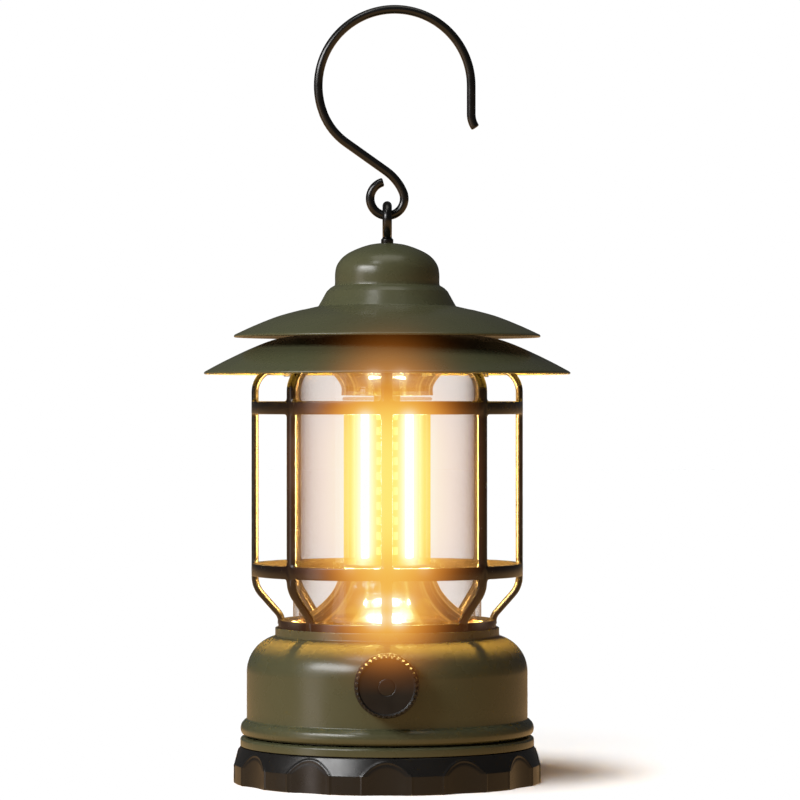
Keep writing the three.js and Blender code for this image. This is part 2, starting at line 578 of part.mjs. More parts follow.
function portShape() {
  const { width, height, back, front, z, wall, floor, tongueWidth, tongueThick, tongueFront } = PORT;
  const between = (from, to, across, high) => block(across, to - from, high, 0, (from + to) / 2, z);
  const mouth = between(back + floor, front + 1, width - 2 * wall, height - 2 * wall);
  const tongue = between(back, tongueFront, tongueWidth, tongueThick);
  return join(cut(between(back, front, width, height), mouth), tongue);
}
add("charge_port", portShape(), STEEL);

// A plate that follows the shell's side at the back.
function curvedPlate(bottom, top) {
  const { inner, thick, halfAngle } = COVER;
  return prism([
    ...arc(0, 0, inner + thick, 90 - halfAngle, 90 + halfAngle, 6),
    ...arc(0, 0, inner, 90 + halfAngle, 90 - halfAngle, 6),
  ], bottom, top);
}

function coverShape() {
  const { inner, thick, bottom, top, plugWidth, plugHeight, plugEnd } = COVER;
  const depth = inner + thick / 2 - plugEnd;
  const plug = block(plugWidth, depth, plugHeight, 0, plugEnd + depth / 2, PORT.z);
  return join(curvedPlate(bottom, top), plug);
}
add("port_cover", coverShape(), BLACK_RUBBER);

function anchorShape() {
  const { bottom, top, pegZ, peg, barb, barbFront, barbBack } = ANCHOR;
  const root = COVER.inner + COVER.thick / 2;
  const tail = turnedAboutY([
    [0, barbBack], [barb, barbBack], [barb, barbFront], [peg, barbFront], [peg, root], [0, root],
  ], pegZ, 8);
  return join(curvedPlate(bottom, top), tail);
}
add("port_cover_anchor", anchorShape(), BLACK_RUBBER);

// ---- leads
add("led_lead", barAlong(LED_LEAD.points, LED_LEAD.radius, LED_LEAD.radius, 8), SILICONE);
add("battery_lead", barAlong(BATTERY_LEAD.points, BATTERY_LEAD.radius, BATTERY_LEAD.radius, 8), BLACK_RUBBER);

export default lantern;
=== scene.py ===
"""Looks of the camping lantern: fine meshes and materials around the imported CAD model."""
import json
import math

import bmesh
import bpy
from mathutils import Matrix, Vector

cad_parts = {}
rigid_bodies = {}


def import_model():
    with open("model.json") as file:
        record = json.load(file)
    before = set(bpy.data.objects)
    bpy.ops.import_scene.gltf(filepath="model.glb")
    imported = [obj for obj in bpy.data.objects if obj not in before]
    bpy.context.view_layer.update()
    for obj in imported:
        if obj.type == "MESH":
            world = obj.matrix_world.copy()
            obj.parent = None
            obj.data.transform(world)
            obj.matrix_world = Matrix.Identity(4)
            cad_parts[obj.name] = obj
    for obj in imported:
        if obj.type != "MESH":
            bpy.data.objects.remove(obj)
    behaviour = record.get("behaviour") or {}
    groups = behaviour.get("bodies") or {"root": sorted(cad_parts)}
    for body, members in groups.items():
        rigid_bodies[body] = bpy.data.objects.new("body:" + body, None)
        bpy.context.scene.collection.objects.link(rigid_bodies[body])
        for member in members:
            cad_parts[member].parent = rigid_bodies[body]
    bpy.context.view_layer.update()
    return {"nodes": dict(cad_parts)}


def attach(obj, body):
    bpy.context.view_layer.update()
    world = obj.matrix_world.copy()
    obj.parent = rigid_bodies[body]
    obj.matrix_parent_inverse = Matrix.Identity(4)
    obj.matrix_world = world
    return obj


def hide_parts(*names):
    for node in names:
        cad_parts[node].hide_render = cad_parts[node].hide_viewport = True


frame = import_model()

MM = 0.001
UP = Vector((0, 0, 1))

# ---------------- sizes, in millimetres
SEGMENTS = 192  # facets round the large turned pieces
FOOT_SEGMENTS = 720
REFLECTOR_SEGMENTS = 288
BAR_COUNT = 8
SCOOP_COUNT = 12
FLUTE_COUNT = 16
GRIP_COUNT = 36
CHIP_COUNT = 10

FOOT = {"radius": 52.2, "wall_top": 6.2, "top": 12.0, "top_radius": 49.9, "inner": 46.9}
FOOT_LEDGE = {"radius": 44, "top": 2.7, "edge": 51.4}
SCOOP = {"half_width": 7.3, "deepest": 50.7, "soften": 0.45, "clear": 1.5, "facet": 0.35}
SCOOP_LIP = {"height": 0.3, "half_width": 0.27, "offset": 1.3}
BAND = {"radius": 49.85, "bottom": 12.3, "top": 15.1, "wall": 46.5}
TRAY = {"floor": 3.0, "floor_top": 5, "inner": 43.8, "rim": 45.4, "rim_top": 18.7, "shelf": 15.55}
BODY = {"radius": 47.7, "wall": 1.8, "inner": 45.9, "bottom": 15.9, "side_top": 37.2}
SHOULDER = {"centre": 35.2, "radius": 12.5, "end": 76}
COLLAR = {"radius": 38.05, "inner": 37.3, "top": 52.3, "ledge": 49.6, "ledge_inner": 16, "ledge_under": 47.6}
CAGE = {"radius": 46.1, "bar_width": 3.7, "bar_depth": 2.4, "ring_thick": 2.0, "fillet": 1.1}
LOWER_RING = (69.8, 74.0)
UPPER_RING = (124.6, 129.0)
BAR_BEND = {"low": 69.4, "low_radius": 8.8, "lean": 43, "high": 132.2, "high_radius": 8.0}
CAGE_FOOT = {"radius": 37.0, "inner": 35.2, "bottom": 49.9, "top": 54.9, "flange_inner": 16, "flange": 1.2}
CAGE_HEAD = {"radius": 37.0, "inner": 33.0, "bottom": 139.0, "top": 141.4}
GLASS = {"radius": 32, "wall": 2, "bottom": 54.4, "top": 144}
COLUMN = {"bottom": 73.5, "top": 128.9, "cover": 21.35, "cover_wall": 1.2, "core": 14.8}
COVER_GRID = {"across": 24, "up": 12, "corner": 0.5}
END_PLATES = (("bottom", 72.0, 73.2), ("top", 129.2, 130.4))
END_PLATE = {"side": 22, "fillet": 0.8, "bevel": 0.25}
STRIP = {"width": 14.4, "length": 52.4, "thick": 0.8, "stand": 0.1}
LED_LINE = {"width": 3.2, "length": 50.5, "height": 0.6, "offset": 2.0, "reach": 8.0}
CHIP = {"pitch": 5.06, "width": 1.8, "length": 2.6, "height": 0.5, "offset": -4.5}
STRIP_PLACES = (("front_left", -90, -1), ("front_right", 0, 1), ("back_right", 90, -1), ("back_left", 180, 1))
WIRE = {"radius": 1.5, "bevel": 0.5}
LOOP = {"z": 197.85, "radius": 5.8}
HOOK = {"x": 2.55, "z": 236.2, "radius": 26}
EYE = {"z": 190.5, "radius": 4.9, "wire": 1.6}
EYE_STEM = {"collar": 2.1, "collar_top": 183.9, "shank": 1.9, "bottom": 174}
KNOB = {"z": 35.8, "radius": 10.35, "skirt": 10.7, "back": 48.3, "front": 56.0}
KNOB_GRIP = {"groove": 0.6, "facet": 0.9, "inner": 9.5}


# ---------------- outlines
def arc(x, y, radius, start, end, steps):
    """Points of an arc about (x, y), with its angles in degrees."""
    angles = (math.radians(start + (end - start) * i / steps) for i in range(steps + 1))
    return [(x + radius * math.cos(a), y + radius * math.sin(a)) for a in angles]


def rounded(corners, degrees=10):
    """A closed outline with a fillet at each corner, from corners given as (x, y, fillet radius)."""
    points = []
    count = len(corners)
    for i, (x, y, radius) in enumerate(corners):
        here = Vector((x, y))
        if radius == 0:
            points.append((x, y))
            continue
        back = Vector(corners[i - 1][:2]) - here
        ahead = Vector(corners[(i + 1) % count][:2]) - here
        angle = back.angle(ahead)
        reach = min(radius / math.tan(angle / 2), 0.49 * min(back.length, ahead.length))
        start = here + back.normalized() * reach
        centre = here + (back.normalized() + ahead.normalized()).normalized() * (reach / math.cos(angle / 2))
        turn = math.pi - angle
        side = 1 if back.x * ahead.y - back.y * ahead.x < 0 else -1
        steps = max(2, math.ceil(math.degrees(turn) / degrees))
        for k in range(steps + 1):
            spun = Matrix.Rotation(side * turn * k / steps, 2) @ (start - centre)
            points.append(tuple(centre + spun))
    return points


def flowing(points, steps):
    """A smooth curve through all the points (Catmull-Rom)."""
    padded = [points[0], *points, points[-1]]
    curve = []
    for a, b, c, d in zip(padded, padded[1:], padded[2:], padded[3:]):
        for k in range(steps):
            t = k / steps
            curve.append(tuple(
                0.5 * (2 * q + (r - p) * t + (2 * p - 5 * q + 4 * r - s) * t * t
                       + (3 * q - p - 3 * r + s) * t ** 3)
                for p, q, r, s in zip(a, b, c, d)
            ))
    return curve + [tuple(points[-1])]


def divided(start, end, count):
    """Evenly spaced points from start up to, but without, end."""
    (x0, y0), (x1, y1) = start, end
    return [(x0 + (x1 - x0) * k / count, y0 + (y1 - y0) * k / count) for k in range(count)]


# ---------------- meshes
def bridge(bm, row, other):
    """Faces between two rings of vertices. A ring of one vertex is a pole."""
    if len(row) == 1 and len(other) == 1:
        return
    count = max(len(row), len(other))
    for i in range(count):
        j = (i + 1) % count
        corners = [row[i % len(row)], row[j % len(row)], other[j % len(other)], other[i % len(other)]]
        bm.faces.new(list(dict.fromkeys(corners)))


def turned(outline, segments=SEGMENTS, radius_at=None):
    """A solid turned about Z from a closed outline of (radius, z).
    radius_at(r, z, angle) shapes it further."""
    bm = bmesh.new()
    rows = []
    for r, z in outline:
        if r < 1e-6:
            rows.append([bm.verts.new((0, 0, z * MM))])
            continue
        row = []
        for i in range(segments):
            a = 2 * math.pi * i / segments
            here = radius_at(r, z, a) if radius_at else r
            row.append(bm.verts.new((here * MM * math.cos(a), here * MM * math.sin(a), z * MM)))
        rows.append(row)
    for row, other in zip(rows, rows[1:] + rows[:1]):
        bridge(bm, row, other)
    bmesh.ops.recalc_face_normals(bm, faces=bm.faces)
    return bm


def swept(path, side, section_at):
    """A solid along a flat path of 3-D points. section_at(i) lists (along side, across path) offsets."""
    bm = bmesh.new()
    side = Vector(side)
    rows = []
    points = [Vector(p) for p in path]
    last = len(points) - 1
    for i, point in enumerate(points):
        ahead = (points[min(i + 1, last)] - points[max(i - 1, 0)]).normalized()
        across = side.cross(ahead).normalized()
        rows.append([bm.verts.new((point + side * u + across * v) * MM) for u, v in section_at(i)])
    for row, other in zip(rows, rows[1:]):
        bridge(bm, row, other)
    bm.faces.new(rows[0])
    bm.faces.new(rows[-1])
    bmesh.ops.recalc_face_normals(bm, faces=bm.faces)
    return bm


def oval(half_width, half_depth, sides=24):
    angles = (2 * math.pi * i / sides for i in range(sides))
    return [(half_width * math.cos(a), half_depth * math.sin(a)) for a in angles]


def wire_ends(path, radius, bevel):
    """Section sizes along a wire, drawn in over the bevel's length at both ends."""
    reach = [0.0]
    for a, b in zip(path, path[1:]):
        reach.append(reach[-1] + (Vector(b) - Vector(a)).length)
    sizes = []
    for at in reach:
        near = min(at, reach[-1] - at)
        inset = max(0.0, 1 - near / bevel)
        sizes.append(radius - bevel * (1 - math.sqrt(max(0.0, 1 - inset * inset))))
    return sizes


def fine_ends(path, bevel, steps=4):
    """The same path with extra points close to both ends, for their bevel."""
    def spread(end, following):
        end, following = Vector(end), Vector(following)
        ahead = (following - end).normalized()
        return [end + ahead * bevel * (k / steps) for k in range(steps)]
    first = spread(path[0], path[1])
    final = spread(path[-1], path[-2])
    return [*first, *[Vector(p) for p in path[1:-1]], *reversed(final)]


def box_mesh(width, depth, height, centre, bevel):
    """A block with rounded edges."""
    bm = bmesh.new()
    bmesh.ops.create_cube(bm, size=1)
    bmesh.ops.scale(bm, vec=Vector((width, depth, height)) * MM, verts=bm.verts)
    bmesh.ops.translate(bm, vec=Vector(centre) * MM, verts=bm.verts)
    bmesh.ops.bevel(bm, geom=bm.edges[:], offset=bevel * MM, segments=3, profile=0.5, affect="EDGES")
    return bm


def prism(outline, bottom, top):
    """An upright solid from an outline of (x, y)."""
    bm = bmesh.new()
    low = [bm.verts.new((x * MM, y * MM, bottom * MM)) for x, y in outline]
    high = [bm.verts.new((x * MM, y * MM, top * MM)) for x, y in outline]
    bridge(bm, low, high)
    bm.faces.new(low)
    bm.faces.new(high)
    bmesh.ops.recalc_face_normals(bm, faces=bm.faces)
    return bm


def merged(*parts):
    """One mesh from several. The parts stay separate shells."""
    whole = bmesh.new()
    for part in parts:
        scratch = new_mesh("scratch", part)
        whole.from_mesh(scratch)
        bpy.data.meshes.remove(scratch)
    return whole


def spun(bm, matrix):
    """The same mesh, turned or moved by a matrix."""
    bmesh.ops.transform(bm, matrix=matrix, verts=bm.verts)
    return bm


def facing_front(bm, z):
    """Turns a solid made about Z so that its top faces -Y, at height z."""
    return spun(bm, Matrix.Translation((0, 0, z * MM)) @ Matrix.Rotation(math.pi / 2, 4, "X"))


def new_object(name, data):
    """An object in the scene, for a mesh, lamp or camera."""
    made = bpy.data.objects.new(name, data)
    bpy.context.scene.collection.objects.link(made)
    return made


def new_mesh(name, bm):
    """A mesh from a bmesh, which is used up."""
    mesh = bpy.data.meshes.new(name)
    bm.to_mesh(mesh)
    bm.free()
    return mesh


def piece(name, bm, material, body="lantern", replaces=(), sharp=32):
    """Turns a mesh into a piece that rides on a body and stands for some CAD nodes.
    Edges bent by more than sharp degrees stay sharp."""
    mesh = new_mesh(name, bm)
    mesh.polygons.foreach_set("use_smooth", [True] * len(mesh.polygons))
    mesh.set_sharp_from_angle(angle=math.radians(sharp))
    made = new_object(name, mesh)
    mesh.materials.append(material)
    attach(made, body)
    if replaces:
        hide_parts(*replaces)
    return made


def joined_solid(bm, other):
    """The boolean union of two meshes, as a new mesh."""
    base, tool = [new_object("scratch", new_mesh("scratch", part)) for part in (bm, other)]
    union = base.modifiers.new("union", "BOOLEAN")
    union.operation = "UNION"
    union.solver = "EXACT"
    union.object = tool
    depsgraph = bpy.context.evaluated_depsgraph_get()
    made = bmesh.new()
    made.from_object(base, depsgraph)
    for thing in (base, tool):
        mesh = thing.data
        bpy.data.objects.remove(thing)
        bpy.data.meshes.remove(mesh)
    return made


# ---------------- materials
class Nodes:
    """A short way to build one material's nodes."""

    def __init__(self, name):
        self.material = bpy.data.materials.new(name)
        self.material.use_nodes = True
        self.tree = self.material.node_tree
        self.tree.nodes.clear()
        self.output = self.tree.nodes.new("ShaderNodeOutputMaterial")
        self.place = self.node("ShaderNodeTexCoord").outputs["Object"]

    def node(self, kind, settings=None, **inputs):
        """A node with some settings. An input goes by its name, with _ for a space, or by its
        number, as in i3. Its value is a number, a colour or another node's socket."""
        made = self.tree.nodes.new(kind)
        for key, value in (settings or {}).items():
            setattr(made, key, value)
        for key, value in inputs.items():
            numbered = key[0] == "i" and key[1:].isdigit()
            socket = made.inputs[int(key[1:]) if numbered else key.replace("_", " ")]
            if isinstance(value, bpy.types.NodeSocket):
                self.tree.links.new(value, socket)
            else:
                socket.default_value = value
        return made

    def noise(self, size_mm, detail, stretch=None):
        """Noise with features of about size_mm."""
        where = self.place
        if stretch:
            where = self.node("ShaderNodeMapping", i0=where, i3=stretch).outputs[0]
        made = self.node("ShaderNodeTexNoise", i0=where, Scale=1 / (size_mm * MM), Detail=detail)
        return made.outputs["Fac"]

    def spread(self, value, low, high, start=0.3, end=0.7):
        """Maps a noise value onto low to high."""
        made = self.node("ShaderNodeMapRange", i0=value, i1=start, i2=end, i3=low, i4=high)
        return made.outputs[0]

    def tint(self, value, first, second):
        """A colour between two, by a value from 0 to 1."""
        made = self.node("ShaderNodeMix", {"data_type": "RGBA"}, i0=value, i6=(*first, 1), i7=(*second, 1))
        return made.outputs[2]

    def result(self, operation, *values):
        """The result of a Math node, from its inputs in order."""
        inputs = {f"i{k}": value for k, value in enumerate(values)}
        return self.node("ShaderNodeMath", {"operation": operation}, **inputs).outputs[0]

    def facing(self):
        """0 where a face looks back along the ray, 1 where it is seen at a glance."""
        return self.node("ShaderNodeLayerWeight", Blend=0.5).outputs["Facing"]

    def attribute(self, name):
        """A value that a mesh carries at its points."""
        return self.node("ShaderNodeAttribute", {"attribute_name": name}).outputs["Fac"]

    def bump(self, height, depth_mm, strength):
        made = self.node("ShaderNodeBump", Height=height, Strength=strength, Distance=depth_mm * MM)
        return made.outputs["Normal"]

    def finish(self, shader):
        self.tree.links.new(shader, self.output.inputs["Surface"])
        return self.material

    def principled(self, **inputs):
        shader = self.node("ShaderNodeBsdfPrincipled", **inputs)
        return self.finish(shader.outputs[0])


def olive_coat():
    """Satin olive powder coat: faint blotches, fine orange peel and a slightly uneven gloss."""
    n = Nodes("olive_powder_coat")
    broad = n.spread(n.noise(22, 3), 0, 1)
    colour = n.tint(broad, (0.084, 0.088, 0.044), (0.094, 0.097, 0.050))
    peel = n.noise(0.9, 2)
    return n.principled(Base_Color=colour, Roughness=n.spread(n.noise(9, 4), 0.24, 0.31),
                        Normal=n.bump(peel, 0.004, 0.1))


def black_coat():
    """Satin black coat on steel wire and castings."""
    n = Nodes("black_coat")
    colour = n.tint(n.noise(6, 3), (0.0045, 0.0042, 0.004), (0.007, 0.0065, 0.006))
    return n.principled(Base_Color=colour, Roughness=n.spread(n.noise(3, 3), 0.20, 0.28),
                        Normal=n.bump(n.noise(1.2, 2), 0.002, 0.08))


def black_rubber():
    """Moulded rubber with a fine grain and a soft shine."""
    n = Nodes("black_rubber")
    colour = n.tint(n.noise(14, 3), (0.010, 0.0095, 0.009), (0.016, 0.015, 0.014))
    return n.principled(Base_Color=colour, Roughness=n.spread(n.noise(5, 4), 0.26, 0.34),
                        Normal=n.bump(n.noise(0.35, 3), 0.02, 0.35))


def black_plastic():
    """Moulded dark plastic of the knob and the inner parts."""
    n = Nodes("black_plastic")
    colour = n.tint(n.noise(8, 2), (0.009, 0.0075, 0.0065), (0.013, 0.011, 0.0095))
    return n.principled(Base_Color=colour, Roughness=n.spread(n.noise(4, 3), 0.34, 0.42),
                        Normal=n.bump(n.noise(0.4, 2), 0.008, 0.3))


def metal(name, colour, darker, roughness, grain_mm, stretch=None):
    """Bare metal with a drawn or turned grain."""
    n = Nodes(name)
    grain = n.noise(grain_mm, 3, stretch=stretch)
    shade = n.tint(grain, colour, darker)
    uneven = n.spread(grain, roughness, roughness + 0.12)
    return n.principled(Base_Color=shade, Metallic=1.0, Roughness=uneven, Normal=n.bump(grain, 0.01, 0.3))


def silicone():
    """Milky silicone of the seals and leads."""
    n = Nodes("silicone")
    colour = n.tint(n.noise(5, 2), (0.62, 0.60, 0.56), (0.72, 0.70, 0.66))
    return n.principled(Base_Color=colour, Roughness=n.spread(n.noise(2, 2), 0.5, 0.62),
                        Normal=n.bump(n.noise(0.5, 2), 0.01, 0.3))


def circuit_board():
    """Green solder mask with thin copper tracks showing through."""
    n = Nodes("circuit_board")
    bricks = n.node("ShaderNodeTexBrick", i0=n.place, Scale=1 / (14 * MM), i6=0.05)
    tracks = bricks.outputs["Fac"]
    colour = n.tint(tracks, (0.010, 0.075, 0.028), (0.030, 0.15, 0.05))
    return n.principled(Base_Color=colour, Roughness=n.spread(n.noise(3, 2), 0.3, 0.42),
                        Normal=n.bump(tracks, 0.03, 0.4))


def cell_wrap():
    """Shrink wrap round the cells, with faint creases."""
    n = Nodes("cell_wrap")
    colour = n.tint(n.noise(10, 3), (0.020, 0.085, 0.28), (0.035, 0.13, 0.38))
    return n.principled(Base_Color=colour, Roughness=n.spread(n.noise(4, 2), 0.22, 0.34),
                        Normal=n.bump(n.noise(2.5, 3, stretch=(0.3, 1, 1)), 0.05, 0.3))


def clear_material(name, straight, edge, gloss, shine, lit=0.0):
    """Clear glass or plastic that lets light straight through: darker at its edges, shinier at a glance.
    A lit moulding also gets a painted amber glow on its flute ridges and at its edges seen at a glance, for
    the lamp's light that it carries."""
    n = Nodes(name)
    facing = n.facing()
    steep = n.result("POWER", facing, 3.0)
    through = n.node("ShaderNodeBsdfTransparent", Color=n.tint(steep, straight, edge))
    share = n.result("MULTIPLY_ADD", n.result("POWER", facing, 5.0), 0.9 - gloss, gloss)
    smear = n.spread(n.noise(9, 3), shine, shine + 0.03)
    mirror = n.node("ShaderNodeBsdfPrincipled", Base_Color=(0.9, 0.9, 0.9, 1), Metallic=1.0, Roughness=smear)
    shader = n.node("ShaderNodeMixShader", i0=share, i1=through.outputs[0], i2=mirror.outputs[0]).outputs[0]
    if lit:
        # Painted glow: amber emission on the flute ridges and at grazing edges, standing in for the lamp's
        # light in the moulding.
        both = n.result("ADD", n.attribute("ridge_glow_mask"), n.result("POWER", facing, 8.0))
        glow = n.result("MULTIPLY", both, lit)
        painted_edge_glow = n.node("ShaderNodeEmission", Color=(1.0, 0.55, 0.12, 1), Strength=glow).outputs[0]
        shader = n.node("ShaderNodeAddShader", i0=shader, i1=painted_edge_glow).outputs[0]
    return n.finish(shader)


def lit_material(name, colour, deeper, strength):
    """A glowing LED material, a little uneven: the lamp itself on the lines and chips, a painted glow on the
    boards.
    """
    n = Nodes(name)
    glow = n.tint(n.spread(n.noise(4, 2), 0, 1), colour, deeper)
    return n.principled(Base_Color=(0.9, 0.6, 0.2, 1), Roughness=0.5, Emission_Color=glow,
                        Emission_Strength=strength)


def lit_cover_material():
    """Clear acrylic over the strips, with a painted glow for the strips' light in it: cream beside the lit
    lines and amber towards the corners. What shows through it gets a painted amber tint towards the corners
    as well.
    """
    n = Nodes("lit_acrylic")
    # near_line is 1 beside a lit line and 0 at a corner; it sets the painted glow and the painted tint.
    near_line = n.attribute("near_line")
    glow = n.tint(near_line, (1.0, 0.40, 0.04), (1.0, 0.86, 0.44))
    power = n.spread(near_line, 0.20, 0.60, 0, 1)
    light = n.node("ShaderNodeEmission", Color=glow, Strength=power)
    through = n.node("ShaderNodeBsdfTransparent",
                     Color=n.tint(near_line, (0.72, 0.56, 0.25), (0.97, 0.93, 0.82)))
    mirror = n.node("ShaderNodeBsdfPrincipled", Base_Color=(0.95, 0.93, 0.9, 1), Metallic=1.0,
                    Roughness=n.spread(n.noise(6, 2), 0.05, 0.1))
    glance = n.result("POWER", n.facing(), 5.0)
    share = n.result("MULTIPLY_ADD", glance, 0.3, 0.012)
    clear = n.node("ShaderNodeMixShader", i0=share, i1=through.outputs[0], i2=mirror.outputs[0])
    both = n.node("ShaderNodeAddShader", i0=clear.outputs[0], i1=light.outputs[0])
    return n.finish(both.outputs[0])


OLIVE = olive_coat()
BLACK = black_coat()
RUBBER = black_rubber()
PLASTIC = black_plastic()
STEEL = metal("plated_steel", (0.56, 0.56, 0.57), (0.42, 0.42, 0.43), 0.26, 1.5)
ALUMINIUM = metal("aluminium", (0.78, 0.78, 0.79), (0.62, 0.62, 0.63), 0.3, 0.8, (1, 1, 0.05))
SILICONE = silicone()
BOARD = circuit_board()
CELL = cell_wrap()
CLEAR_GLASS = clear_material("clear_glass", (0.95, 0.935, 0.925), (0.52, 0.45, 0.41), gloss=0.03, shine=0.015)
ACRYLIC = clear_material("clear_acrylic", (0.86, 0.80, 0.76), (0.42, 0.34, 0.28), gloss=0.22, shine=0.05)
# The reflectors' lit moulding: lit=0.3 is the strength of its painted amber glow on ridges and edges.
ACRYLIC_LIT = clear_material("clear_acrylic_lit", (0.66, 0.57, 0.50), (0.34, 0.24, 0.18),
                             gloss=0.22, shine=0.09, lit=0.3)
LIT_COVER = lit_cover_material()
LED_HOT = lit_material("led_lit_line", (1.0, 0.70, 0.30), (1.0, 0.66, 0.25), strength=70)
LED_CHIP = lit_material("led_lit_chip", (1.0, 0.95, 0.75), (1.0, 0.90, 0.65), strength=4.0)
# The boards are no lamps: their faint glow is painted, for the light of the lines and chips.
LED_BASE = lit_material("led_phosphor", (1.0, 0.72, 0.30), (1.0, 0.66, 0.24), strength=0.3)

# ---------------- CAD nodes that stay, with finer materials
KEPT = {
    PLASTIC: ["light_top_cap", "cell_holder", "driver_chip", "power_inductor"],
    STEEL: ["tube_nut_bottom", "tube_nut_top", "eye_washer", "eye_nut", "dimmer_shaft", "dimmer_switch",
            "dimmer_nut", "charge_port",
            *[f"{place}_screw_{i}" for place, count in (("base", 4), ("cage", 4), ("deck", 3), ("roof", 3))
              for i in range(1, count + 1)]],
    ALUMINIUM: ["lamp_deck", "led_core", "centre_tube"],
    SILICONE: ["glass_seal_bottom", "glass_seal_top", "led_lead"],
    RUBBER: ["port_cover", "port_cover_anchor", "battery_lead"],
    BOARD: ["control_board"],
    CELL: ["cell_front", "cell_back"],
}
for material, names in KEPT.items():
    for node_name in names:
        for slot in frame["nodes"][node_name].material_slots:
            slot.material = material


# ---------------- turned pieces
def make_upper_roof():
    """A spun shell: dome, step, cone and the wide brim with a rolled rim."""
    top = [(0, 182.8), *flowing([(1.5, 182.8), (6.3, 182.1), (11.5, 180.2), (14.9, 178.1), (17.0, 175.4),
                                 (17.7, 172.6), (17.75, 169.2)], 6)]
    step = rounded([(17.75, 169.2, 0), (17.85, 168.35, 0.35), (19.3, 167.5, 0.5), (20.55, 166.35, 1.0),
                    (23.4, 161.25, 0.7), (28.0, 160.15, 0)], 8)[1:-1]
    brim = flowing([(28.0, 160.2), (30.6, 159.65), (37.5, 157.7), (45.3, 154.6), (51.7, 151.65)], 6)
    rim = arc(51.65, 151.1, 0.45, 60, -110, 6)
    under = flowing([(51.0, 150.95), (44.8, 153.45), (37.1, 156.55), (30.4, 158.4), (23.0, 159.9)], 4)
    inside = [(18.7, 165.8), (16.8, 167.6), (16.5, 173), *arc(5.2, 170.0, 11.3, 20, 90, 8)]
    roof = turned([*top, *step, *brim, *rim, *under, *inside, (0, 181.3)])
    piece("upper_roof_coated", roof, OLIVE, replaces=["upper_roof"])


def make_lower_roof():
    """The wider roof below it, with a socket round the top of the glass."""
    crown = [(0, 151.2), (28, 151.2)]
    brim = flowing([(31.5, 151.15), (38.2, 149.95), (45.8, 147.1), (55.1, 142.7), (61.8, 139.15)], 6)
    rim = arc(61.8, 138.55, 0.45, 60, -110, 6)
    under = flowing([(61.2, 138.3), (54.6, 141.6), (45.4, 145.95), (36.9, 149.0)], 4)
    socket = [(36.8, 141.7), (33.2, 141.7), (33.2, 150.0), (0, 150.0)]
    roof = turned([*crown, *brim, *rim, *under, *socket])
    piece("lower_roof_coated", roof, OLIVE, replaces=["lower_roof"])


def make_body():
    """The olive shell: a rolled bead, an upright side, a round shoulder and a collar with a ledge."""
    r, side_top = BODY["radius"], BODY["side_top"]
    centre, bend, end = SHOULDER["centre"], SHOULDER["radius"], SHOULDER["end"]
    ledge = COLLAR["ledge"]
    bead = flowing([(48.6, 16.0), (49.45, 16.7), (49.8, 18.1), (49.45, 19.7), (48.5, 20.85)], 6)
    side = rounded([(48.5, 20.85, 0), (r, 21.3, 0.5), (r, 24, 0), (r, 30, 0)])[:-1]
    shoulder = arc(centre, side_top, bend, 0, end, 48)
    collar = rounded([
        (38.6, 49.3, 0), (COLLAR["radius"], ledge, 0.5), (COLLAR["radius"], COLLAR["top"], 0.35),
        (COLLAR["inner"], COLLAR["top"], 0.25), (COLLAR["inner"], ledge, 0)])[1:]
    inside = [(COLLAR["ledge_inner"], ledge), (COLLAR["ledge_inner"], COLLAR["ledge_under"]),
              *arc(centre, side_top, bend - BODY["wall"], end, 0, 10), (BODY["inner"], BODY["bottom"])]
    shell = turned([*bead, *side, *shoulder, *collar, *inside])
    piece("body_shell_coated", shell, OLIVE, replaces=["body_shell"])


def make_tray():
    """The base tray. Its olive band shows between the foot and the body."""
    outline = rounded([
        (BAND["wall"], TRAY["floor"], 0), (BAND["wall"], BAND["bottom"], 0),
        (BAND["radius"], BAND["bottom"], 0.15), (BAND["radius"], BAND["top"], 0.9),
        (47.4, TRAY["shelf"], 0.2), (TRAY["rim"], TRAY["shelf"], 0), (TRAY["rim"], TRAY["rim_top"], 0.3),
        (TRAY["inner"], TRAY["rim_top"], 0.3), (TRAY["inner"], TRAY["floor_top"], 0),
        (0, TRAY["floor_top"], 0), (0, TRAY["floor"], 0)])
    piece("base_tray_coated", turned(outline), OLIVE, replaces=["base_tray"])


